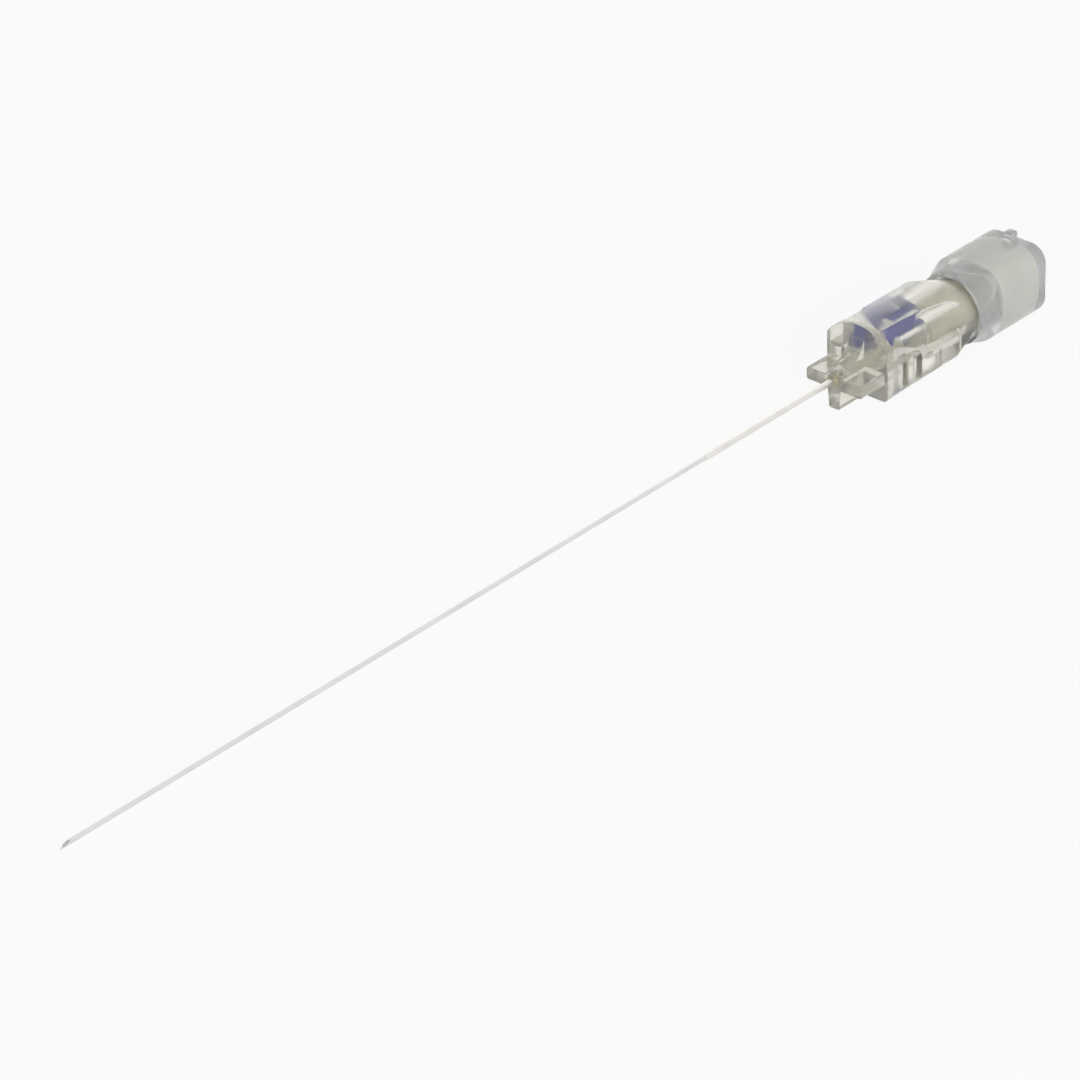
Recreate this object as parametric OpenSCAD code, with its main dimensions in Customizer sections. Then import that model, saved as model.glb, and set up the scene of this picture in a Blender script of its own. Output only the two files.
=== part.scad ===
// Spinal needle with its stylet in place. The needle's axis is X: the tip points to -X, the cap
// end to +X, +Z is up, and the origin is where the cannula leaves the front of the hub.

/* [Needle] */
// Length of the cannula in front of the hub
needle_length = 90; // [60:1:120]
// Outside diameter of the cannula
cannula_d = 0.41; // [0.4:0.01:0.45]
// Bore of the cannula
cannula_bore_d = 0.25; // [0.24:0.01:0.28]
// Angle between the bevel of the tip and the needle's axis
bevel_angle = 19; // [14:1:30]
// Diameter of the stylet's wire
wire_d = 0.19; // [0.16:0.01:0.2]

/* [Reinforcing sleeve] */
// Outside diameter of the sleeve on the rear of the cannula
sleeve_d = 0.56; // [0.5:0.01:0.7]
// Length of the sleeve in front of the hub
sleeve_length = 16.8; // [5:0.1:30]
// Length of the sleeve inside the hub
sleeve_grip = 4.6; // [2:0.1:5.2]
// Length of the cone at the sleeve's front end
sleeve_nose = 0.35; // [0.1:0.05:0.6]

/* [Hub front] */
// Length of the wings in front of the bulkhead
wing_length = 3.1; // [2:0.1:4]
// Reach of the two side wings from the axis
wing_reach = 3; // [2:0.1:3.2]
// Thickness of the side wings
wing_t = 1.2; // [0.6:0.1:1.6]
// Height of the middle of the side wings above the axis, below it when negative
wing_z = -0.3; // [-0.6:0.05:0.3]
// Reach of the lower fin below the axis
fin_reach = 2.8; // [2:0.05:3]
// Thickness of the lower fin at its root, and of the gusset above the wings
fin_t = 1.6; // [0.8:0.1:1.8]
// Thickness of the lower fin at its edge
fin_edge_t = 1.1; // [0.6:0.1:1.6]
// Radius of the hollow in the gusset's front
gusset_r = 2.2; // [1.5:0.1:2.6]
// Radius of the boss round the cannula
boss_r = 0.95; // [0.85:0.05:1.5]

/* [Hub body] */
// Radius of the arched top of the hub
arch_r = 4; // [3.6:0.1:4.6]
// Half width of the bulkhead and of the skirt's front
skirt_half_w = 3.3; // [2.9:0.1:3.5]
// Half width of the skirt's rear
skirt_rear_half_w = 3.1; // [2.5:0.05:3.3]
// Depth of the skirt below the axis
skirt_depth = 2.5; // [2:0.05:3]
// Length of the skirt, with the bulkhead
skirt_length = 10.4; // [8:0.1:12]
// Thickness of the bulkhead
bulkhead_t = 0.9; // [0.5:0.1:1.4]
// Height of the ledge behind the bulkhead
ledge_front_z = 1.15; // [0.8:0.05:1.5]
// Height of the lowest part of the ledge
ledge_low_z = -0.15; // [-0.5:0.05:0.4]
// Height of the ledge at the skirt's rear
ledge_rear_z = 0.15; // [0:0.05:0.8]
// Half width of the upper body in the deepest part of the finger grips
grip_half_w = 1.9; // [1.6:0.05:2.4]
// Half width of the upper body where the finger grips end
grip_end_half_w = 2.9; // [2.6:0.05:3.2]
// Length of the straight arch, with the bulkhead
arch_length = 9.3; // [6:0.1:10]
// Length of the cone between the arch and the socket's barrel
shoulder_length = 3.3; // [2:0.1:3.4]

/* [Socket] */
// Outside radius of the socket's barrel
barrel_r = 2.75; // [2.6:0.05:2.8]
// Where the barrel's rear face lies behind the hub's front
barrel_end = 19; // [17.5:0.1:20]
// Diameter of the socket's mouth
socket_mouth_d = 4.3; // [4.2:0.01:4.32]
// Depth of the tapered socket
socket_depth = 8.6; // [7.6:0.1:9]
// Growth of the socket's diameter per unit of length
socket_taper_share = 0.06; // [0.05:0.005:0.07]

/* [Stylet] */
// Length of the plug's head behind the socket
head_length = 5.3; // [3:0.1:6]
// Length of the cap in front of the socket's rim
cap_skirt = 3.1; // [2:0.1:4.5]
// Width of the cap
cap_w = 6.8; // [6.4:0.1:7.6]
// Height of the cap
cap_h = 6.6; // [6.4:0.1:7.6]
// Radius of the cap's long edges
cap_corner_r = 1.7; // [0.8:0.1:2.4]
// Height of the cap's middle above the axis
cap_lift = 0.15; // [0:0.05:0.2]
// Thickness of the cap's closed end
cap_end_t = 0.9; // [0.5:0.1:1.5]
// Reach of the key on top of the cap above the axis
key_reach = 4.2; // [3.8:0.05:4.8]
// Width of the key
key_w = 0.9; // [0.8:0.1:2]
// Length of the key along the axis
key_length = 1.1; // [0.8:0.1:2]

/* [Colour marker] */
// Length of the coloured plate in the finger grip on the +Y side
marker_length = 4.4; // [3:0.1:5.5]
// Thickness of the coloured plate, from the deepest part of the finger grip
marker_t = 0.6; // [0.5:0.05:0.8]
// How far the coloured plate is let into the ledge, below the axis
marker_depth = 1; // [0.4:0.05:1.4]

/* [Hidden] */

// The hub's lengths and places along X
body_x = wing_length;
grip_x = body_x + bulkhead_t;
arch_x = body_x + arch_length;
shoulder_x = arch_x + shoulder_length;
skirt_x = body_x + skirt_length;
// The skirt's ledge falls, runs level and rises, at these shares of its length
ledge_shares = [0.29, 0.6, 0.79];
ledge_xs = [for (s = ledge_shares) body_x + skirt_length * s];
// Finger grips: each is the side of a wide upright cylinder that is deepest at the bulkhead
grip_rise = grip_end_half_w - grip_half_w;
grip_run = shoulder_x - grip_x;
grip_r = (grip_run ^ 2 + grip_rise ^ 2) / (2 * grip_rise);
// So wide a cylinder needs more steps than the small round parts
grip_steps = 720;
// Side pockets in the skirt: start and length along X, depth and top
slot_starts = [2.15, 3.85, 5.5];
slot_lengths = [0.85, 1, 2];
slot_depths = [0.7, 0.7, 0.25];
slot_tops = [0.35, 0.25, -0.4];
// Wall left below the pockets
slot_floor = 0.35;
// Long edges of the skirt, and the chamfer of its rear lower edge
skirt_edge_r = 0.5;
skirt_rear_chamfer = 0.7;
// Corners of the wings
wing_corner_r = 0.25;

// Bonded seat for the cannula: radius, front and rear, and the funnel's mouth
seat_r = 0.72;
seat_front_wall = 1.2;
seat_length = 6.2;
seat_rear = seat_front_wall + seat_length;
funnel_mouth_r = 0.55;
cannula_overhang = 0.8;
cannula_rear = sleeve_grip + cannula_overhang;
// Flashback chamber between the seat and the socket
chamber_r = 1.3;
// Adhesive: the well in the hub's front face and the bead that stands out of it
well_r = 0.62;
well_depth = 0.6;
bead_r = 0.5;
bead_out = 0.3;

// How far the socket's barrel reaches into the shoulder
barrel_root = 0.5;
// Socket and plug
socket_x = barrel_end - socket_depth;
socket_mouth_r = socket_mouth_d / 2;
socket_floor_r = socket_mouth_r - socket_depth * socket_taper_share / 2;
rim_chamfer = 0.15;
plug_gap = 0.03;
plug_short = 0.5;
head_r = 3;
// Rear pocket of the plug, filled with adhesive round the wire
pocket_r = 0.8;
pocket_depth = 2.6;
wire_grip = 2.2;

// Cap
cap_front = barrel_end - cap_skirt;
head_end = barrel_end + head_length;
cap_rear = head_end + cap_end_t;
cap_front_r = 3.35;
cap_lip_r = 3.55;
cap_lip_length = 1.1;
cap_taper_length = 1.3;
cap_rear_edge = 0.5;
cap_lip_x = cap_front + cap_lip_length;
cap_full_x = cap_lip_x + cap_taper_length;
cap_corner_centre = [cap_w / 2 - cap_corner_r, cap_h / 2 - cap_corner_r];
cap_corner_reach = norm(cap_corner_centre) + cap_corner_r + cap_lift;
key_rear_gap = 0.5;

// Gap between the bulkhead and the colour marker
marker_front_gap = 2.8;

// The bevel leans back from the lowest point of the tip
bevel_length = cannula_d / tan(bevel_angle);
overrun = 0.5;
// What the bevel takes off in front of the tip
tip_blank = overrun / 2;
$fn = 96;

// A round bar or cone along X
module rod(x0, x1, r0, r1 = undef) {
    translate([x0, 0, 0]) rotate([0, 90, 0]) cylinder(h = x1 - x0, r1 = r0, r2 = is_undef(r1) ? r0 : r1);
}

// A flat outline in Y and Z, extruded along X
module along_x(x0, x1) {
    translate([x0, 0, 0]) rotate([90, 0, 90]) linear_extrude(x1 - x0) children();
}

// A flat outline in X and Z, extruded both ways along Y
module across(half_w) {
    rotate([90, 0, 0]) linear_extrude(2 * half_w, center = true) children();
}

// A rectangle round the axis, with round corners
module rounded(w, h, r) {
    square([w - 2 * r, h], center = true);
    square([w, h - 2 * r], center = true);
    for (y = [-1, 1], z = [-1, 1])
        translate([y * (w / 2 - r), z * (h / 2 - r)]) circle(r);
}

// Everything in front of the bevel's plane, which starts at the lowest point of the tip
module bevel_cut() {
    across(cannula_d) polygon([
        [-needle_length - overrun, -cannula_d / 2 - overrun * tan(bevel_angle)],
        [-needle_length + bevel_length + overrun, cannula_d / 2 + overrun * tan(bevel_angle)],
        [-needle_length - overrun, cannula_d / 2 + overrun * tan(bevel_angle)]
    ]);
}

module cannula() {
    color("silver") difference() {
        rod(-needle_length - tip_blank, cannula_rear, cannula_d / 2);
        rod(-needle_length - overrun, cannula_rear + overrun, cannula_bore_d / 2);
        bevel_cut();
    }
}

module reinforcing_sleeve() {
    color("gainsboro") difference() {
        union() {
            rod(-sleeve_length, -sleeve_length + sleeve_nose, cannula_d / 2, sleeve_d / 2);
            rod(-sleeve_length + sleeve_nose, sleeve_grip, sleeve_d / 2);
        }
        rod(-sleeve_length - overrun, sleeve_grip + overrun, cannula_d / 2);
    }
}

module stylet_wire() {
    color("lightgray") difference() {
        rod(-needle_length, head_end - pocket_depth + wire_grip, wire_d / 2);
        bevel_cut();
    }
}

// Wings on both sides, a fin below and a gusset above, round the boss
module wings() {
    along_x(0, wing_length) {
        circle(boss_r);
        translate([0, wing_z]) rounded(2 * wing_reach, wing_t, wing_corner_r);
        polygon([
            [-fin_t / 2, 0],
            [-fin_edge_t / 2, -fin_reach],
            [fin_edge_t / 2, -fin_reach],
            [fin_t / 2, 0]
        ]);
    }
    across(fin_t / 2) difference() {
        translate([wing_length - gusset_r, 0]) square([gusset_r, boss_r + gusset_r]);
        translate([wing_length - gusset_r, boss_r + gusset_r]) circle(gusset_r);
    }
}

// Section of the skirt: straight sides on round lower edges
module skirt_section() {
    rounded(2 * skirt_half_w, 2 * skirt_depth, skirt_edge_r);
    translate([-skirt_half_w, 0]) square([2 * skirt_half_w, arch_r]);
}

// Side view of the skirt: flat below, with the ledge above
module skirt_side() {
    polygon([
        [body_x, -skirt_depth],
        [skirt_x - skirt_rear_chamfer, -skirt_depth],
        [skirt_x, -skirt_depth + skirt_rear_chamfer],
        [skirt_x, ledge_rear_z],
        [ledge_xs[2], ledge_low_z],
        [ledge_xs[1], ledge_low_z],
        [ledge_xs[0], ledge_front_z],
        [body_x, ledge_front_z]
    ]);
}

module skirt_plan() {
    polygon([
        [body_x, -skirt_half_w],
        [skirt_x, -skirt_rear_half_w],
        [skirt_x, skirt_rear_half_w],
        [body_x, skirt_half_w]
    ]);
}

module skirt() {
    intersection() {
        across(skirt_half_w) skirt_side();
        along_x(body_x, skirt_x) skirt_section();
        translate([0, 0, -skirt_depth]) linear_extrude(skirt_depth + arch_r) skirt_plan();
    }
}

// The upper body, drawn in by the finger grips
module upper_body() {
    intersection() {
        union() {
            rod(body_x, arch_x, arch_r);
            rod(arch_x, shoulder_x, arch_r, grip_end_half_w);
        }
        translate([body_x, -arch_r, -skirt_depth])
            cube([shoulder_x - body_x, 2 * arch_r, skirt_depth + arch_r]);
        grip_core();
    }
}

// All that lies between the two finger grips
module grip_core() {
    difference() {
        translate([body_x - overrun, -arch_r - overrun, -arch_r - overrun])
            cube([shoulder_x - body_x + 2 * overrun, 2 * (arch_r + overrun), 2 * (arch_r + overrun)]);
        for (side = [-1, 1])
            translate([grip_x, side * (grip_half_w + grip_r), -arch_r - 2 * overrun])
                cylinder(h = 2 * (arch_r + 2 * overrun), r = grip_r, $fn = grip_steps);
    }
}

module side_pockets() {
    for (side = [-1, 1], i = [0 : len(slot_starts) - 1])
        translate([
            body_x + slot_starts[i],
            side > 0 ? skirt_half_w - slot_depths[i] : -skirt_half_w - overrun,
            -skirt_depth + slot_floor
        ])
            cube([slot_lengths[i], slot_depths[i] + overrun, skirt_depth + slot_tops[i] - slot_floor]);
}

module hub() {
    color([0.78, 0.79, 0.8, 0.5]) difference() {
        union() {
            wings();
            along_x(body_x, grip_x) intersection() {
                circle(arch_r);
                skirt_section();
            }
            skirt();
            upper_body();
            rod(shoulder_x - barrel_root, barrel_end - rim_chamfer, barrel_r);
            rod(barrel_end - rim_chamfer, barrel_end, barrel_r, barrel_r - rim_chamfer);
        }
        rod(-overrun, seat_front_wall + overrun, sleeve_d / 2);
        rod(0, well_depth, well_r, sleeve_d / 2);
        rod(seat_front_wall, seat_rear, seat_r);
        rod(seat_rear, socket_x, chamber_r);
        rod(socket_x, barrel_end, socket_floor_r, socket_mouth_r);
        side_pockets();
        marker_plate();
    }
}

module cannula_seat() {
    color([0.86, 0.84, 0.76]) difference() {
        rod(seat_front_wall, seat_rear, seat_r);
        rod(seat_front_wall - overrun, sleeve_grip, sleeve_d / 2);
        rod(sleeve_grip - overrun, cannula_rear, cannula_d / 2);
        rod(cannula_rear, seat_rear, cannula_bore_d / 2, funnel_mouth_r);
    }
}

module hub_adhesive() {
    color([0.9, 0.85, 0.7]) difference() {
        union() {
            rod(-bead_out, 0, sleeve_d / 2, bead_r);
            rod(0, well_depth, well_r, sleeve_d / 2);
        }
        rod(-bead_out - overrun, well_depth + overrun, sleeve_d / 2);
    }
}

// The plate stands in the finger grip on the +Y side, let into the ledge below
module marker_plate() {
    difference() {
        intersection() {
            rod(grip_x, arch_x, arch_r);
            translate([grip_x + marker_front_gap, 0, -marker_depth])
                cube([marker_length, grip_half_w + marker_t, marker_depth + arch_r]);
        }
        grip_core();
    }
}

module colour_marker() {
    color([0.12, 0.16, 0.55]) marker_plate();
}

module stylet_plug() {
    color([0.88, 0.87, 0.8]) difference() {
        union() {
            rod(socket_x + plug_short, barrel_end,
                socket_floor_r + plug_short * socket_taper_share / 2 - plug_gap, socket_mouth_r - plug_gap);
            rod(barrel_end, head_end, head_r);
        }
        rod(socket_x, head_end - pocket_depth + overrun, wire_d / 2);
        rod(head_end - pocket_depth, head_end + overrun, pocket_r);
    }
}

module stylet_adhesive() {
    color([0.9, 0.85, 0.7]) difference() {
        rod(head_end - pocket_depth, head_end, pocket_r);
        rod(head_end - pocket_depth - overrun, head_end - pocket_depth + wire_grip, wire_d / 2);
    }
}

module stylet_cap() {
    color([0.8, 0.81, 0.84, 0.5]) difference() {
        union() {
            intersection() {
                along_x(cap_front, cap_rear)
                    translate([0, cap_lift]) rounded(cap_w, cap_h, cap_corner_r);
                union() {
                    rod(cap_front, cap_lip_x, cap_front_r, cap_lip_r);
                    rod(cap_lip_x, cap_full_x, cap_lip_r, cap_corner_reach);
                    rod(cap_full_x, cap_rear - cap_rear_edge, cap_corner_reach);
                    rod(cap_rear - cap_rear_edge, cap_rear,
                        cap_corner_reach, cap_corner_reach - cap_rear_edge);
                }
            }
            translate([cap_rear - key_rear_gap - key_length, 0, 0])
                along_x(0, key_length)
                    translate([-key_w / 2, 0]) square([key_w, key_reach]);
        }
        rod(cap_front - overrun, head_end, head_r);
    }
}

hub();
cannula_seat();
cannula();
reinforcing_sleeve();
hub_adhesive();
colour_marker();
stylet_wire();
stylet_plug();
stylet_cap();
stylet_adhesive();
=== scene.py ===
import math

import bpy
from mathutils import Matrix, Vector


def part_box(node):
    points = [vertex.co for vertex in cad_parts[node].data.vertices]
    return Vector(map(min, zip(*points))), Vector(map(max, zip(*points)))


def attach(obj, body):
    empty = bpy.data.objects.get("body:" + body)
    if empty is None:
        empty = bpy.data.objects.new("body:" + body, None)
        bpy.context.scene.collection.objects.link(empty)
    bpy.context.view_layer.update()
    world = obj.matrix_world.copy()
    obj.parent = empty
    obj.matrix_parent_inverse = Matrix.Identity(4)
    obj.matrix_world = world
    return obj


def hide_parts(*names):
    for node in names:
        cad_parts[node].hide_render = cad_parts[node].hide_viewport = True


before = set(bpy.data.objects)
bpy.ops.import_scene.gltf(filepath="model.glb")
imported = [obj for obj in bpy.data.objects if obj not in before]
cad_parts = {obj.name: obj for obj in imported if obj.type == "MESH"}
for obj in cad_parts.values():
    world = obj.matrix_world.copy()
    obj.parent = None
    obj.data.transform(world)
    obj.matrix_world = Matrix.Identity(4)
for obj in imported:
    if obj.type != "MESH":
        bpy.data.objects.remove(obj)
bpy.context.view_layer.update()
print("frame loaded,", len(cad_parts), "nodes")

# Pieces are modelled in millimetres and brought to metres when they are finished
bench = 0.001
overrun = 0.5  # how far a cutting tool reaches past what it cuts
gap = 0.02  # air left between pieces that only touch
bond = 0.02  # how far a bonded or pressed piece sinks into the clear wall, so that no air shows there
near = 0.01  # margin for telling whether a vertex or an edge lies at a place
smoothAngle = 24  # degrees; edges that turn further stay sharp
noiseBand = (0.3, 0.7)  # most of a noise texture's values lie between these


def boxOf(node):
    low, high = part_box(node)
    return low / bench, high / bench


def hold(obj):
    bpy.ops.object.select_all(action="DESELECT")
    obj.select_set(True)
    bpy.context.view_layer.objects.active = obj


def shape(obj, kind, test, action, **settings):
    # runs one edit-mode step on the parts of a mesh that pass the test
    hold(obj)
    bpy.ops.object.mode_set(mode="EDIT")
    bpy.ops.mesh.select_mode(type=kind)
    bpy.ops.mesh.select_all(action="DESELECT")
    bpy.ops.object.mode_set(mode="OBJECT")
    mesh = obj.data
    for part in {"VERT": mesh.vertices, "EDGE": mesh.edges, "FACE": mesh.polygons}[kind]:
        part.select = bool(test(mesh, part))
    bpy.ops.object.mode_set(mode="EDIT")
    action(**settings)
    bpy.ops.object.mode_set(mode="OBJECT")


def allParts(mesh, part):
    return True


def middle(mesh, edge):
    a, b = (mesh.vertices[i].co for i in edge.vertices)
    return (a + b) / 2


def runsAlong(axis, test):
    # picks edges that run along an axis and whose middle passes the test
    def check(mesh, edge):
        a, b = (mesh.vertices[i].co for i in edge.vertices)
        return abs(b[axis] - a[axis]) > 0.99 * (b - a).length and test((a + b) / 2)

    return check


def roundPicked(obj, test, width, steps):
    shape(obj, "EDGE", test, bpy.ops.mesh.bevel, offset=width, segments=steps, affect="EDGES")


def roundSharp(obj, width, steps, test=None, angle=30):
    # rounds every edge that is sharper than the angle and passes the test
    hold(obj)
    bpy.ops.object.mode_set(mode="EDIT")
    bpy.ops.mesh.select_mode(type="EDGE")
    bpy.ops.mesh.select_all(action="DESELECT")
    bpy.ops.mesh.edges_select_sharp(sharpness=math.radians(angle))
    bpy.ops.object.mode_set(mode="OBJECT")
    for edge in obj.data.edges:
        edge.select = edge.select and (test is None or test(middle(obj.data, edge)))
    bpy.ops.object.mode_set(mode="EDIT")
    bpy.ops.mesh.bevel(offset=width, segments=steps, affect="EDGES", clamp_overlap=False)
    bpy.ops.object.mode_set(mode="OBJECT")


def applyPlace(obj):
    hold(obj)
    bpy.ops.object.transform_apply(location=True, rotation=True, scale=True)
    return obj


def block(low, high):
    low, high = Vector(low), Vector(high)
    bpy.ops.object.select_all(action="DESELECT")
    bpy.ops.mesh.primitive_cube_add(size=1, location=(low + high) / 2, scale=high - low)
    return applyPlace(bpy.context.object)


def turned(stations, sides=96):
    # a bar along X, drawn out from one station to the next; a station is a place and a radius
    (x0, r0), (x1, r1) = stations[:2]
    bpy.ops.object.select_all(action="DESELECT")
    bpy.ops.mesh.primitive_cone_add(
        vertices=sides, radius1=r0, radius2=r1, depth=x1 - x0,
        location=((x0 + x1) / 2, 0, 0), rotation=(0, math.pi / 2, 0),
    )
    obj = applyPlace(bpy.context.object)

    def drawOut():
        for (xa, ra), (xb, rb) in zip(stations[1:], stations[2:]):
            bpy.ops.mesh.extrude_region_move(TRANSFORM_OT_translate={"value": (xb - xa, 0, 0)})
            bpy.ops.transform.resize(value=(1, rb / ra, rb / ra), center_override=(xb, 0, 0))

    if len(stations) > 2:
        shape(obj, "FACE", lambda mesh, face: face.loop_total == sides and face.normal.x > 0.5, drawOut)
    return obj


def combine(obj, tool, how):
    step = obj.modifiers.new(how.lower(), "BOOLEAN")
    step.operation = how
    step.solver = "EXACT"
    step.object = tool
    hold(obj)
    bpy.ops.object.modifier_apply(modifier=step.name)
    bpy.data.objects.remove(tool)
    return obj


def trim(obj, place, normal):
    # cuts off what lies on the side that the normal points to, and closes the cut
    shape(obj, "FACE", allParts, bpy.ops.mesh.bisect, plane_co=place, plane_no=normal,
          use_fill=True, clear_outer=True, threshold=0.00001)


def finishPiece(obj, name, body, nodes, material):
    obj.name = obj.data.name = name
    obj.scale = (bench, bench, bench)
    applyPlace(obj)
    bpy.ops.object.shade_smooth_by_angle(angle=math.radians(smoothAngle))
    flats = obj.modifiers.new("flats", "WEIGHTED_NORMAL")
    flats.keep_sharp = True
    bpy.ops.object.modifier_apply(modifier=flats.name)
    obj.data.materials.clear()
    obj.data.materials.append(material)
    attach(obj, body)
    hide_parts(*nodes)
    print(name, "finished,", len(obj.data.polygons), "faces")


camera = {
    "lens": 178.35,
    "sensor": 36.0,
    "place": (-304.36, -249.27, 221.99),  # millimetres
    "azimuth": -47.01,
    "elevation": 31.085,
    "roll": -2.02,
}


def makeCamera():
    data = bpy.data.cameras.new("photoCamera")
    data.lens = camera["lens"]
    data.sensor_width = camera["sensor"]
    data.clip_start = 0.01
    data.clip_end = 20
    obj = bpy.data.objects.new("photoCamera", data)
    bpy.context.collection.objects.link(obj)
    turn = (
        Matrix.Rotation(math.radians(camera["azimuth"]), 4, "Z")
        @ Matrix.Rotation(math.radians(90 - camera["elevation"]), 4, "X")
        @ Matrix.Rotation(math.radians(camera["roll"]), 4, "Z")
    )
    obj.matrix_world = Matrix.Translation(Vector(camera["place"]) * bench) @ turn
    bpy.context.scene.camera = obj


makeCamera()
print("camera placed")


def startMaterial(name):
    material = bpy.data.materials.new(name)
    material.use_nodes = True
    tree = material.node_tree
    return material, tree, tree.nodes["Principled BSDF"]


def setShader(shader, **values):
    for socket, value in values.items():
        shader.inputs[socket.replace("_", " ")].default_value = value


def grain(tree, size, stretch=(1, 1, 1), detail=3.0):
    # noise on the piece's own coordinates, with features of about that size in millimetres
    coords = tree.nodes.new("ShaderNodeTexCoord")
    place = tree.nodes.new("ShaderNodeMapping")
    place.inputs["Scale"].default_value = [1 / (size * bench * s) for s in stretch]
    noise = tree.nodes.new("ShaderNodeTexNoise")
    noise.inputs["Scale"].default_value = 1
    noise.inputs["Detail"].default_value = detail
    tree.links.new(coords.outputs["Object"], place.inputs["Vector"])
    tree.links.new(place.outputs["Vector"], noise.inputs["Vector"])
    return noise.outputs["Fac"]


def spread(tree, value, low, high):
    # turns most of the noise's range into low to high
    step = tree.nodes.new("ShaderNodeMapRange")
    step.inputs["From Min"].default_value = noiseBand[0]
    step.inputs["From Max"].default_value = noiseBand[1]
    step.inputs["To Min"].default_value = low
    step.inputs["To Max"].default_value = high
    tree.links.new(value, step.inputs["Value"])
    return step.outputs["Result"]


def ramp(tree, value, places, colours):
    # fades from the first colour to the second between two places of the value
    node = tree.nodes.new("ShaderNodeValToRGB")
    for i in (0, 1):
        node.color_ramp.elements[i].position = places[i]
        node.color_ramp.elements[i].color = (*colours[i], 1)
    tree.links.new(value, node.inputs["Fac"])
    return node.outputs["Color"]


def relief(tree, shader, height, depth):
    # depth in millimetres
    bump = tree.nodes.new("ShaderNodeBump")
    bump.inputs["Strength"].default_value = 1
    bump.inputs["Distance"].default_value = depth * bench
    tree.links.new(height, bump.inputs["Height"])
    tree.links.new(bump.outputs["Normal"], shader.inputs["Normal"])


def mouldedPlastic(look):
    # plastic from a mould: clouded colour, a dull bloom here and there and a slightly wavy skin
    material, tree, shader = startMaterial(look["name"])
    setShader(shader, Transmission_Weight=look["clear"], IOR=look["bend"],
              Specular_IOR_Level=0.5, Coat_Weight=look["coat"], Coat_Roughness=0.06)
    cloud = grain(tree, look["cloudSize"])
    clouded = ramp(tree, cloud, noiseBand, (look["colour"], look["shade"]))
    tree.links.new(clouded, shader.inputs["Base Color"])
    bloom = grain(tree, look["bloomSize"], detail=2)
    tree.links.new(spread(tree, bloom, *look["roughness"]), shader.inputs["Roughness"])
    relief(tree, shader, grain(tree, look["waveSize"], detail=1), look["waveDepth"])
    return material


def drawnSteel(look):
    # drawn tube: fine lines along X, with dull and bright stretches
    material, tree, shader = startMaterial(look["name"])
    setShader(shader, Metallic=1.0)
    longer = look["lineLength"] / look["lineWidth"]
    lines = grain(tree, look["lineWidth"], stretch=(longer, 1, 1), detail=4)
    stretches = grain(tree, look["stretchSize"])
    shaded = ramp(tree, stretches, noiseBand, (look["colour"], look["shade"]))
    tree.links.new(shaded, shader.inputs["Base Color"])
    tree.links.new(spread(tree, lines, *look["roughness"]), shader.inputs["Roughness"])
    relief(tree, shader, lines, look["lineDepth"])
    return material


clearHub = mouldedPlastic({
    "name": "clearHub",
    "colour": (0.84, 0.83, 0.76), "shade": (0.77, 0.76, 0.68),
    "clear": 0.88, "bend": 1.46, "coat": 0.0,
    "cloudSize": 2.5, "bloomSize": 1.5, "roughness": (0.16, 0.26),
    "waveSize": 2.0, "waveDepth": 0.02,
})
clearCap = mouldedPlastic({
    "name": "clearCap",
    "colour": (0.84, 0.84, 0.84), "shade": (0.77, 0.77, 0.78),
    "clear": 0.8, "bend": 1.46, "coat": 0.0,
    "cloudSize": 3.0, "bloomSize": 1.8, "roughness": (0.16, 0.26),
    "waveSize": 2.4, "waveDepth": 0.02,
})
milkyPlug = mouldedPlastic({
    "name": "milkyPlug",
    "colour": (0.95, 0.93, 0.84), "shade": (0.90, 0.88, 0.78),
    "clear": 0.2, "bend": 1.45, "coat": 0.0,
    "cloudSize": 1.6, "bloomSize": 0.4, "roughness": (0.3, 0.5),
    "waveSize": 0.5, "waveDepth": 0.01,
})
naturalSeat = mouldedPlastic({
    "name": "naturalSeat",
    "colour": (0.90, 0.88, 0.79), "shade": (0.84, 0.82, 0.73),
    "clear": 0.3, "bend": 1.45, "coat": 0.0,
    "cloudSize": 1.2, "bloomSize": 0.4, "roughness": (0.25, 0.45),
    "waveSize": 0.5, "waveDepth": 0.01,
})
bluePlastic = mouldedPlastic({
    "name": "bluePlastic",
    "colour": (0.012, 0.022, 0.38), "shade": (0.022, 0.036, 0.45),
    "clear": 0.0, "bend": 1.5, "coat": 0.3,
    "cloudSize": 1.0, "bloomSize": 0.3, "roughness": (0.2, 0.38),
    "waveSize": 0.4, "waveDepth": 0.008,
})
curedAdhesive = mouldedPlastic({
    "name": "curedAdhesive",
    "colour": (0.80, 0.74, 0.56), "shade": (0.72, 0.64, 0.45),
    "clear": 0.6, "bend": 1.48, "coat": 0.0,
    "cloudSize": 0.5, "bloomSize": 0.2, "roughness": (0.05, 0.15),
    "waveSize": 0.25, "waveDepth": 0.01,
})
cannulaSteel = drawnSteel({
    "name": "cannulaSteel",
    "colour": (0.76, 0.76, 0.75), "shade": (0.68, 0.68, 0.68),
    "roughness": (0.16, 0.34), "lineWidth": 0.02, "lineLength": 1.5,
    "stretchSize": 4.0, "lineDepth": 0.0008,
})
# the sleeve's steel colour, made warmer and brighter than the cannula's: a painted warm reflection of
# the beige hub beside it
sleeveSteelPaintedReflection = drawnSteel({
    "name": "sleeveSteelPaintedReflection",
    "colour": (0.82, 0.80, 0.76), "shade": (0.74, 0.72, 0.68),
    "roughness": (0.14, 0.30), "lineWidth": 0.025, "lineLength": 1.2,
    "stretchSize": 3.0, "lineDepth": 0.0008,
})
wireSteel = drawnSteel({
    "name": "wireSteel",
    "colour": (0.56, 0.56, 0.57), "shade": (0.48, 0.48, 0.49),
    "roughness": (0.25, 0.42), "lineWidth": 0.015, "lineLength": 0.8,
    "stretchSize": 2.0, "lineDepth": 0.0006,
})
print("materials made")

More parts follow.
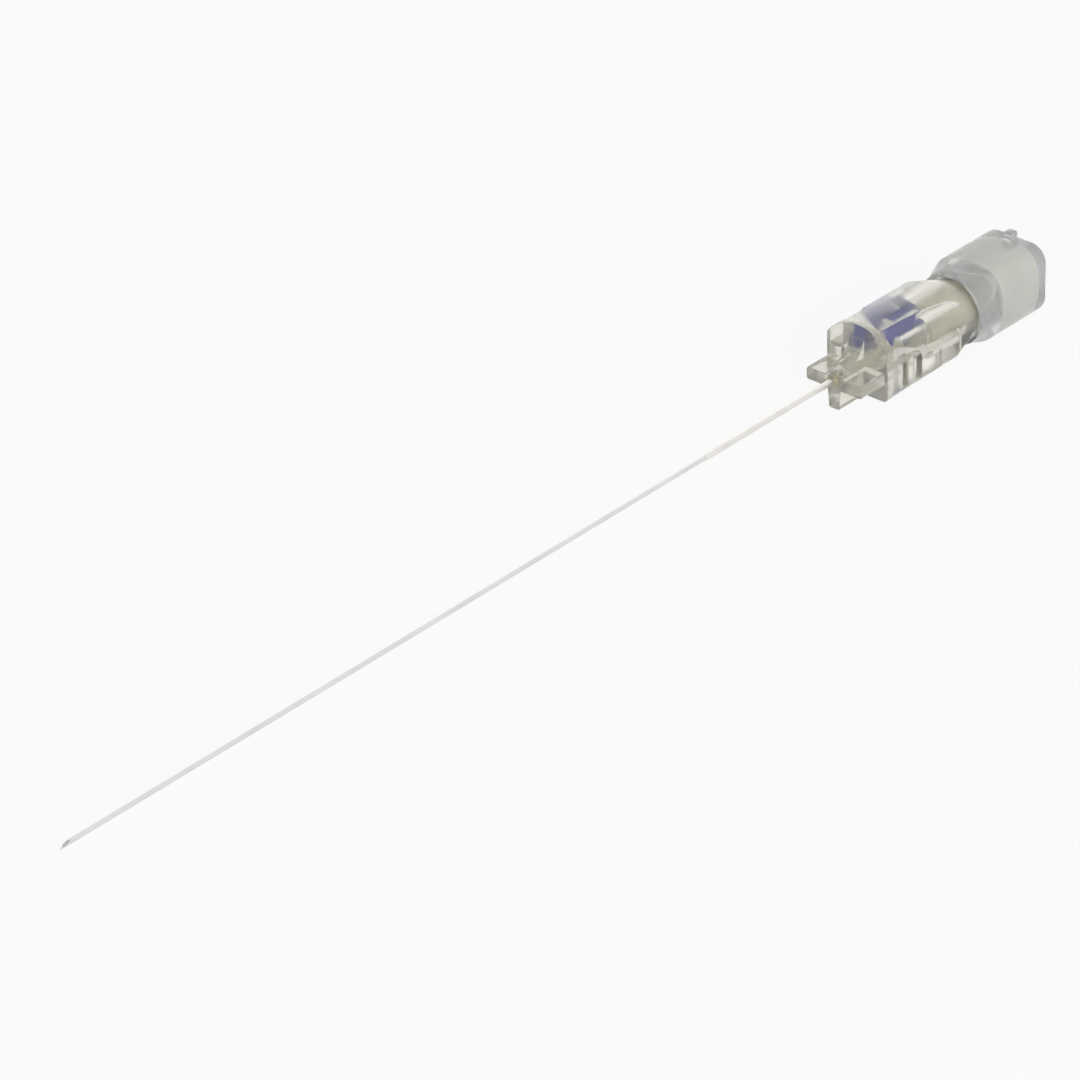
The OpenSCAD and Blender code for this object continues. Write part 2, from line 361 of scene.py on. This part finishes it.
hubLow, hubHigh = boxOf("hub")
hub = {
    "end": hubHigh.x,
    "halfWidth": hubHigh.y,
    "rearHalfWidth": 3.1,
    "archRadius": hubHigh.z,
    "depth": 2.5,
    "front": 3.1,  # where the bulkhead starts, behind the wings
    "bulkhead": 0.9,
    "archEnd": 12.4,
    "shoulderEnd": 15.7,
    "skirtEnd": 13.5,
    "skirtRound": 0.5,
    "rearChamfer": 0.7,
    "ledge": [(6.116, 1.15), (9.34, -0.15), (11.316, -0.15), (13.5, 0.15)],
    "gripHalfWidth": 1.9,
    "gripEndHalfWidth": 2.9,
    "barrelRadius": 2.75,
    "edge": 0.1,  # rounding of the moulded edges
}
gripX = hub["front"] + hub["bulkhead"]
gripRise = hub["gripEndHalfWidth"] - hub["gripHalfWidth"]
gripRadius = ((hub["shoulderEnd"] - gripX) ** 2 + gripRise ** 2) / (2 * gripRise)
root = 0.5  # how far one part of the hub reaches into the next


def gripTool(side, shrink=0.0):
    # the wide upright cylinder that a finger grip is the side of
    tool = turned([(-5.5, gripRadius - shrink), (5.5, gripRadius - shrink)], sides=360)
    tool.rotation_euler = (0, -math.pi / 2, 0)
    tool.location = (gripX, side * (hub["gripHalfWidth"] + gripRadius), 0)
    return applyPlace(tool)


def makeBulkhead():
    half, top = hub["halfWidth"], hub["archRadius"]
    wall = block((hub["front"], -half, -hub["depth"]), (gripX, half, top + overrun))
    roundPicked(wall, runsAlong(0, lambda p: p.z < 0), hub["skirtRound"], 6)
    arch = turned([(hub["front"] - overrun, top), (gripX + overrun, top)], sides=120)
    combine(wall, arch, "INTERSECT")
    ledgeTop = hub["ledge"][0][1]
    roundSharp(wall, hub["edge"], 3, lambda p: p.x < hub["front"] + near)
    roundSharp(wall, hub["edge"], 3, lambda p: p.x > gripX - near and p.z > ledgeTop, angle=45)
    return wall


pockets = {
    "starts": [5.25, 6.95, 8.6],
    "lengths": [0.85, 1.0, 2.0],
    "depths": [0.7, 0.7, 0.25],
    "tops": [0.35, 0.25, -0.4],
    "floor": -2.15,
    "edge": 0.06,
}
plate = {
    "start": 6.8,
    "length": 4.4,
    "low": -1.0,
    "slotInner": 1.5,  # where the slot in the ledge starts, from the middle
    "reach": 2.5,
    "topLean": 34.0,  # degrees
    "edge": 0.06,
}


def makeSkirt():
    ledgeTop = hub["ledge"][0][1]
    front, half, depth = gripX - root, hub["halfWidth"] - gap, hub["depth"] - gap
    skirt = block((front, -half, -depth), (hub["skirtEnd"], half, ledgeTop))
    atRear = lambda mesh, vert: vert.co.x > hub["skirtEnd"] - near
    shape(skirt, "VERT", atRear, bpy.ops.transform.resize,
          value=(1, hub["rearHalfWidth"] / half, 1), center_override=(hub["skirtEnd"], 0, 0))
    for x, z in hub["ledge"][:3]:
        shape(skirt, "FACE", allParts, bpy.ops.mesh.bisect, plane_co=(x, 0, 0), plane_no=(1, 0, 0),
              threshold=0.00001)
    for x, z in hub["ledge"][1:]:
        onTop = lambda mesh, vert: abs(vert.co.x - x) < near and vert.co.z > ledgeTop - near
        shape(skirt, "VERT", onTop, bpy.ops.transform.translate, value=(0, 0, z - ledgeTop))
    shape(skirt, "FACE", allParts, bpy.ops.mesh.dissolve_limited, angle_limit=math.radians(0.5))
    low, wide = -2.4, 2.9  # what lies past these is at the skirt's bottom or side
    rearLow = lambda p: p.x > hub["skirtEnd"] - near and p.z < low
    roundPicked(skirt, runsAlong(1, rearLow), hub["rearChamfer"], 1)
    lowSides = lambda p: p.z < low and abs(p.y) > wide
    roundPicked(skirt, runsAlong(0, lowSides), hub["skirtRound"] - gap, 6)
    for side in (-1, 1):
        for i, start in enumerate(pockets["starts"]):
            inner = hub["halfWidth"] - pockets["depths"][i]
            ys = sorted((side * inner, side * (hub["halfWidth"] + overrun)))
            end = start + pockets["lengths"][i]
            tool = block((start, ys[0], pockets["floor"]), (end, ys[1], pockets["tops"][i]))
            combine(skirt, tool, "DIFFERENCE")
    inView = lambda p: p.x > gripX - 0.2 and p.z > pockets["floor"] + 0.1
    roundSharp(skirt, pockets["edge"], 2, inView)
    slot = block((plate["start"], plate["slotInner"], plate["low"]),
                 (plate["start"] + plate["length"], plate["reach"], ledgeTop + overrun))
    return combine(skirt, slot, "DIFFERENCE")


def makeUpperBody():
    shoulder = hub["gripEndHalfWidth"]
    body = turned([(gripX - root, hub["archRadius"]), (hub["archEnd"], hub["archRadius"]),
                   (hub["shoulderEnd"], shoulder)])
    trim(body, (0, 0, -hub["depth"] + 2 * gap), (0, 0, -1))
    for side in (-1, 1):
        combine(body, gripTool(side), "DIFFERENCE")

    # the arch's lines that run out at a flat angle on the grips' edges would spoil their rounding
    def runsOut(p):
        half = hub["gripHalfWidth"] + gripRadius - math.sqrt(gripRadius ** 2 - (p.x - gripX) ** 2)
        lean = math.degrees(math.atan2(abs(p.y), p.z))
        return 29 < lean < 40 and abs(p.y) < half - near and p.x < hub["archEnd"] - near

    shape(body, "EDGE", runsAlong(0, runsOut), bpy.ops.mesh.dissolve_edges)
    alongGrips = lambda p: gripX + gap < p.x < hub["archEnd"] + 0.1 and p.z > -2
    roundSharp(body, hub["edge"], 3, alongGrips)
    return body


wings = {
    "length": 3.1,
    "reach": 3.0,
    "low": -0.9,
    "high": 0.3,
    "cornerRound": 0.25,
    "finReach": -hubLow.z,
    "finRoot": 0.8,
    "finEdge": 0.55,
    "finRound": 0.14,
    "gussetRadius": 2.2,
    "bossRadius": 0.95,
    "bossRound": 0.16,
}


def makeFront():
    rear = wings["length"] + root
    inFront = lambda p: p.x < wings["length"]
    front = turned([(0, wings["bossRadius"]), (rear, wings["bossRadius"])], sides=96)
    roundSharp(front, wings["bossRound"], 4, lambda p: p.x < near, angle=60)

    pair = block((0, -wings["reach"], wings["low"]), (rear, wings["reach"], wings["high"]))
    roundPicked(pair, runsAlong(0, lambda p: True), wings["cornerRound"], 5)
    roundSharp(pair, hub["edge"], 3, inFront)

    fin = block((0, -wings["finRoot"], -wings["finReach"]), (rear, wings["finRoot"], 0))
    atEdge = lambda mesh, vert: vert.co.z < -1
    shape(fin, "VERT", atEdge, bpy.ops.transform.resize,
          value=(1, wings["finEdge"] / wings["finRoot"], 1), center_override=(0, 0, -wings["finReach"]))
    roundSharp(fin, wings["finRound"], 3, lambda p: p.z < -0.2 and inFront(p))

    radius, half = wings["gussetRadius"], wings["finRoot"]
    start, centre = wings["length"] - radius, wings["bossRadius"] + radius
    top = centre - 0.3  # the hollow is almost upright here
    gusset = block((start, -half, 0), (rear, half, top))
    hollow = turned([(-2, radius), (2, radius)], sides=120)
    hollow.rotation_euler = (0, 0, math.pi / 2)
    hollow.location = (start, 0, centre)
    combine(gusset, applyPlace(hollow), "DIFFERENCE")

    def onArc(p):
        return wings["bossRadius"] - near < p.z < top - near and p.x < rear - 0.1 and abs(p.y) > 0.1

    roundSharp(gusset, wings["finRound"], 3, onArc)

    for part in (pair, fin, gusset):
        combine(front, part, "UNION")
    return front


socket = {
    "wellRadius": 0.62,
    "wellDepth": 0.6,
    "boreRadius": 0.285,
    "seatRadius": 0.72,
    "seatFront": 1.2,
    "seatRear": 7.4,
    "chamberRadius": 1.3,
    "start": 10.4,
    "mouthRadius": 2.15,
    "taper": 0.03,  # growth of the radius per length
    "rimRound": 0.15,
}


def makeHub():
    whole = makeBulkhead()
    combine(whole, makeSkirt(), "UNION")
    combine(whole, makeUpperBody(), "UNION")
    radius = hub["barrelRadius"]
    barrel = turned([(hub["shoulderEnd"] - root, radius), (hub["end"], radius)], sides=128)
    roundSharp(barrel, socket["rimRound"], 4, lambda p: p.x > hub["end"] - near)
    combine(whole, barrel, "UNION")
    combine(whole, makeFront(), "UNION")
    slope = (socket["wellRadius"] - socket["boreRadius"]) / socket["wellDepth"]
    deepRadius = socket["mouthRadius"] - socket["taper"] * (hub["end"] - socket["start"])
    core = turned([
        (-overrun, socket["wellRadius"] + slope * overrun),
        (socket["wellDepth"], socket["boreRadius"]),
        (socket["seatFront"], socket["boreRadius"]),
        (socket["seatFront"], socket["seatRadius"]),
        (socket["seatRear"], socket["seatRadius"]),
        (socket["seatRear"], socket["chamberRadius"]),
        (socket["start"], socket["chamberRadius"]),
        (socket["start"], deepRadius),
        (hub["end"] + overrun, socket["mouthRadius"] + socket["taper"] * overrun),
    ])
    combine(whole, core, "DIFFERENCE")
    finishPiece(whole, "clear_hub_shell", "needle", ["hub"], clearHub)


makeHub()


def ringed(obj, bore):
    return combine(obj, turned(bore), "DIFFERENCE")


funnel = {
    "sleeveEnd": 4.6,
    "cannulaEnd": 5.4,
    "cannulaRadius": 0.21,
    "throat": 0.13,
    "mouth": 0.55,
    "edge": 0.06,
}


def makeSeat():
    seat = turned([(socket["seatFront"] + gap, socket["seatRadius"] + bond),
                   (socket["seatRear"], socket["seatRadius"] + bond)])
    roundSharp(seat, funnel["edge"], 2)
    ringed(seat, [
        (0, socket["boreRadius"]),
        (funnel["sleeveEnd"], socket["boreRadius"]),
        (funnel["sleeveEnd"], funnel["cannulaRadius"]),
        (funnel["cannulaEnd"], funnel["cannulaRadius"]),
        (funnel["cannulaEnd"], funnel["throat"]),
        (socket["seatRear"], funnel["mouth"]),
        (socket["seatRear"] + overrun, funnel["mouth"]),
    ])
    finishPiece(seat, "cannula_seat_bush", "needle", ["cannula_seat"], naturalSeat)


makeSeat()

bead = {"out": 0.3, "innerRadius": 0.30, "radius": 0.5, "rings": 8}


def makeBead():
    # the bead's outside is a hollow curve from the sleeve out to the hub's front
    stations = []
    for i in range(bead["rings"] + 1):
        t = i / bead["rings"]
        growth = 1 - math.sqrt(1 - t * t)
        radius = bead["innerRadius"] + (bead["radius"] - bead["innerRadius"]) * growth
        stations.append((-bead["out"] * (1 - t), radius))
    stations += [(0, socket["wellRadius"] + bond), (socket["wellDepth"], socket["boreRadius"] + bond)]
    ring = turned(stations, sides=64)
    ringed(ring, [(-1, socket["boreRadius"]), (1, socket["boreRadius"])])
    finishPiece(ring, "hub_adhesive_bead", "needle", ["hub_adhesive"], curedAdhesive)


makeBead()


def makePlate():
    # stands in the finger grip on the far side, let into the ledge
    start, end = plate["start"] + gap, plate["start"] + plate["length"] - gap
    tile = block((start, 0, plate["low"] + gap), (end, plate["reach"] - gap, hub["archRadius"]))
    combine(tile, gripTool(1, shrink=-bond), "INTERSECT")
    lean = math.radians(plate["topLean"])
    slope = Vector((0, math.sin(lean), math.cos(lean)))
    trim(tile, slope * (hub["archRadius"] - 2 * gap), slope)
    roundSharp(tile, plate["edge"], 3)
    finishPiece(tile, "blue_grip_plate", "needle", ["colour_marker"], bluePlastic)


makePlate()
print("needle's hub done")

tipX = boxOf("cannula")[0].x
point = {
    "bevel": 19.0,  # degrees between the main bevel and the axis
    "sideBevel": 27.0,  # the two side facets, ground steeper
    "sideTurn": 38.0,  # how far each side facet is turned round the axis
    "sideBack": 0.05,  # how far above the tip the side facets start
}


def grind(obj, radius, angle, turn, lift):
    # takes off what lies above a plane that rises from the lowest point of the tip
    tool = block((-3, -2, 0), (4, 2, 3))
    lean = Matrix.Rotation(-math.radians(angle), 4, "Y")
    roll = Matrix.Rotation(math.radians(turn), 4, "X")
    tool.matrix_world = roll @ Matrix.Translation((tipX, 0, -radius + lift)) @ lean
    combine(obj, applyPlace(tool), "DIFFERENCE")


tubes = {
    "cannulaRadius": boxOf("cannula")[1].z,
    "cannulaBore": 0.125,
    "cannulaEnd": boxOf("cannula")[1].x,
    "sleeveRadius": boxOf("reinforcing_sleeve")[1].z,
    "sleeveStart": boxOf("reinforcing_sleeve")[0].x,
    "sleeveNose": 0.35,
    "noseRound": 0.08,
    "sleeveEnd": 4.6,
    "sleeveGap": 0.003,  # between the cannula and the sleeve on it
    "wireRadius": boxOf("stylet_wire")[1].z,
    "wireEnd": boxOf("stylet_wire")[1].x,
}


def makeTubes():
    radius = tubes["cannulaRadius"]
    cannula = turned([(tipX, radius), (tubes["cannulaEnd"], radius)], sides=64)
    ringed(cannula, [(tipX - 1, tubes["cannulaBore"]), (tubes["cannulaEnd"] + 1, tubes["cannulaBore"])])
    wire = turned([(tipX, tubes["wireRadius"]), (tubes["wireEnd"], tubes["wireRadius"])], sides=48)
    for obj in (cannula, wire):
        grind(obj, radius, point["bevel"], 0, 0)
        for side in (-1, 1):
            grind(obj, radius, point["sideBevel"], side * point["sideTurn"], point["sideBack"])
    finishPiece(cannula, "cannula_tube", "needle", ["cannula"], cannulaSteel)
    finishPiece(wire, "stylet_wire_rod", "stylet", ["stylet_wire"], wireSteel)

    start, end, full = tubes["sleeveStart"], tubes["sleeveEnd"], tubes["sleeveRadius"]
    noseEnd = start + tubes["sleeveNose"]
    sleeve = turned([(start, radius + 0.01), (noseEnd, full - 0.01),
                     (noseEnd + tubes["noseRound"], full), (end, full)], sides=64)
    bore = radius + tubes["sleeveGap"]
    ringed(sleeve, [(start - 1, bore), (end + 1, bore)])
    finishPiece(sleeve, "reinforcing_sleeve_tube", "needle", ["reinforcing_sleeve"],
                sleeveSteelPaintedReflection)


makeTubes()
print("cannula, sleeve and wire done")

plugLow, plugHigh = boxOf("stylet_plug")
plug = {
    "front": plugLow.x,
    "frontRadius": 1.877,
    "neckRadius": 2.12,
    "headStart": hub["end"],
    "headEnd": plugHigh.x,
    "headRadius": plugHigh.z,
    "edge": 0.12,
    "pocketRadius": 0.8,
    "pocketDepth": 2.6,
    "wireGap": 0.005,  # between the wire and what holds it
    "fillTop": [(-0.1, 0.62), (-0.05, 0.3)],  # the fill's domed end, from the head's end
}


def makePlug():
    headRadius = plug["headRadius"] + bond
    core = turned([(plug["front"], plug["frontRadius"]), (plug["headStart"], plug["neckRadius"]),
                   (plug["headStart"], headRadius), (plug["headEnd"] - gap, headRadius)], sides=128)
    roundSharp(core, plug["edge"], 3)
    pocketX = plug["headEnd"] - plug["pocketDepth"]
    bore = tubes["wireRadius"] + plug["wireGap"]
    ringed(core, [(0, bore), (pocketX, bore),
                  (pocketX, plug["pocketRadius"]), (plug["headEnd"] + overrun, plug["pocketRadius"])])
    finishPiece(core, "milky_plug_core", "stylet", ["stylet_plug"], milkyPlug)

    fillRadius = plug["pocketRadius"] - gap
    dome = [(plug["headEnd"] + x, radius) for x, radius in plug["fillTop"]]
    fill = turned([(pocketX + gap, fillRadius), (plug["headEnd"] - 0.2, fillRadius), *dome], sides=64)
    ringed(fill, [(pocketX - 1, bore), (tubes["wireEnd"] + gap, bore)])
    finishPiece(fill, "stylet_adhesive_fill", "stylet", ["stylet_adhesive"], curedAdhesive)


makePlug()

capLow, capHigh = boxOf("stylet_cap")
cap = {
    "front": capLow.x,
    "rear": capHigh.x,
    "halfWidth": capHigh.y,
    "low": capLow.z,
    "high": 3.45,
    "longRound": 1.7,
    "rearRound": 0.5,
    "frontRadius": 3.35,
    "lipRadius": 3.55,
    "lipEnd": 17.0,
    "taperEnd": 18.3,
    "cornerReach": 4.18,
    "cavityRadius": 3.0,
    "cavityEnd": 24.3,
    "keyHalfWidth": 0.45,
    "keyStart": 23.6,
    "keyEnd": 24.7,
    "keyTop": capHigh.z,
    "keyRound": 0.14,
    "lipRound": 0.08,
}


def makeCap():
    shell = block((cap["front"], -cap["halfWidth"], cap["low"]),
                  (cap["rear"], cap["halfWidth"], cap["high"]))
    roundPicked(shell, runsAlong(0, lambda p: True), cap["longRound"], 14)
    roundSharp(shell, cap["rearRound"], 5, lambda p: p.x > cap["rear"] - near, angle=60)
    envelope = turned([
        (cap["front"], cap["frontRadius"]), (cap["lipEnd"], cap["lipRadius"]),
        (cap["taperEnd"], cap["cornerReach"]), (cap["rear"] + 1, cap["cornerReach"]),
    ], sides=160)
    combine(shell, envelope, "INTERSECT")
    key = block((cap["keyStart"], -cap["keyHalfWidth"], cap["high"] - 0.4),
                (cap["keyEnd"], cap["keyHalfWidth"], cap["keyTop"]))
    roundSharp(key, cap["keyRound"], 3, lambda p: p.z > cap["high"] - 0.3)
    combine(shell, key, "UNION")
    radius = cap["cavityRadius"]
    cavity = turned([(cap["front"] - overrun, radius), (cap["cavityEnd"], radius)], sides=128)
    combine(shell, cavity, "DIFFERENCE")
    roundSharp(shell, cap["lipRound"], 3, lambda p: p.x < cap["front"] + near, angle=60)
    finishPiece(shell, "clear_cap_shell", "stylet", ["stylet_cap"], clearCap)


makeCap()
print("stylet's plug and cap done")


def seesBackground(tree, share=1.0):
    # share for the rays that show the background: the camera's, mirrored and passed through
    path = tree.nodes.new("ShaderNodeLightPath")
    value = path.outputs["Is Camera Ray"]
    for name in ("Is Glossy Ray", "Is Transmission Ray"):
        either = tree.nodes.new("ShaderNodeMath")
        either.operation = "MAXIMUM"
        tree.links.new(value, either.inputs[0])
        tree.links.new(path.outputs[name], either.inputs[1])
        value = either.outputs[0]
    weigh = tree.nodes.new("ShaderNodeMath")
    weigh.operation = "MULTIPLY"
    weigh.inputs[1].default_value = share
    tree.links.new(value, weigh.inputs[0])
    return weigh.outputs[0]


def mixInto(tree, output, share, first, second):
    mix = tree.nodes.new("ShaderNodeMixShader")
    tree.links.new(share, mix.inputs["Fac"])
    tree.links.new(first, mix.inputs[1])
    tree.links.new(second, mix.inputs[2])
    tree.links.new(mix.outputs[0], output.inputs["Surface"])


floor = {
    "size": 6.0,  # metres
    "colour": (0.95, 0.95, 0.95, 1),
    "glow": 0.9,  # share of the floor that stays white in the shadow
    "tip": (tipX, 0, -tubes["cannulaRadius"]),
    "fin": (0, 0, hubLow.z),
    "drop": 0.01,  # millimetres between the floor and the tip
}


def makeFloor():
    # the floor goes through the tip and the lower fin, on which the needle lies
    bpy.ops.object.select_all(action="DESELECT")
    bpy.ops.mesh.primitive_plane_add(size=floor["size"])
    obj = bpy.context.object
    obj.name = "floor"
    tip, fin = Vector(floor["tip"]), Vector(floor["fin"])
    slope = math.atan2(tip.z - fin.z, fin.x - tip.x)
    start = (tip - Vector((0, 0, floor["drop"]))) * bench
    obj.matrix_world = Matrix.Translation(start) @ Matrix.Rotation(slope, 4, "Y")
    material, tree, shader = startMaterial("paleFloor")
    setShader(shader, Base_Color=floor["colour"], Roughness=0.8, Specular_IOR_Level=0.0)
    white = tree.nodes.new("ShaderNodeEmission").outputs[0]
    share = seesBackground(tree, floor["glow"])
    mixInto(tree, tree.nodes["Material Output"], share, shader.outputs[0], white)
    obj.data.materials.append(material)


makeFloor()

light = {
    "room": 0.9,
    "overhead": 0.4,  # how bright the room is straight above, when it is 1 at the horizon
    "fade": (0.05, 0.7),  # heights between which it gets darker
    "lamps": [
        {"name": "backLight", "power": 0.5, "size": 0.5, "distance": 0.8,
         "direction": (0.846, 0.465, 0.262)},
        {"name": "frontLight", "power": 5.5, "size": 0.7, "distance": 0.9,
         "direction": (-0.35, -0.90, 0.25)},
    ],
}


def makeLamp(look):
    lamp = bpy.data.lights.new(look["name"], "AREA")
    lamp.energy = look["power"]
    lamp.size = look["size"]
    obj = bpy.data.objects.new(look["name"], lamp)
    bpy.context.collection.objects.link(obj)
    toward = Vector(look["direction"]).normalized()
    obj.location = toward * look["distance"]
    obj.rotation_euler = toward.to_track_quat("Z", "Y").to_euler()


def makeLight():
    world = bpy.data.worlds.new("room")
    bpy.context.scene.world = world
    world.use_nodes = True
    tree = world.node_tree
    coords = tree.nodes.new("ShaderNodeTexCoord")
    split = tree.nodes.new("ShaderNodeSeparateXYZ")
    tree.links.new(coords.outputs["Generated"], split.inputs[0])
    fade = ramp(tree, split.outputs["Z"], light["fade"], ((1, 1, 1), [light["overhead"]] * 3))
    dim = tree.nodes["Background"]
    dim.inputs["Strength"].default_value = light["room"]
    tree.links.new(fade, dim.inputs["Color"])
    white = tree.nodes.new("ShaderNodeBackground")
    white.inputs["Color"].default_value = (1, 1, 1, 1)
    mixInto(tree, tree.nodes["World Output"], seesBackground(tree), dim.outputs[0], white.outputs[0])
    for lamp in light["lamps"]:
        makeLamp(lamp)


makeLight()
print("floor and light made")

bpy.context.scene.view_settings.view_transform = "Standard"
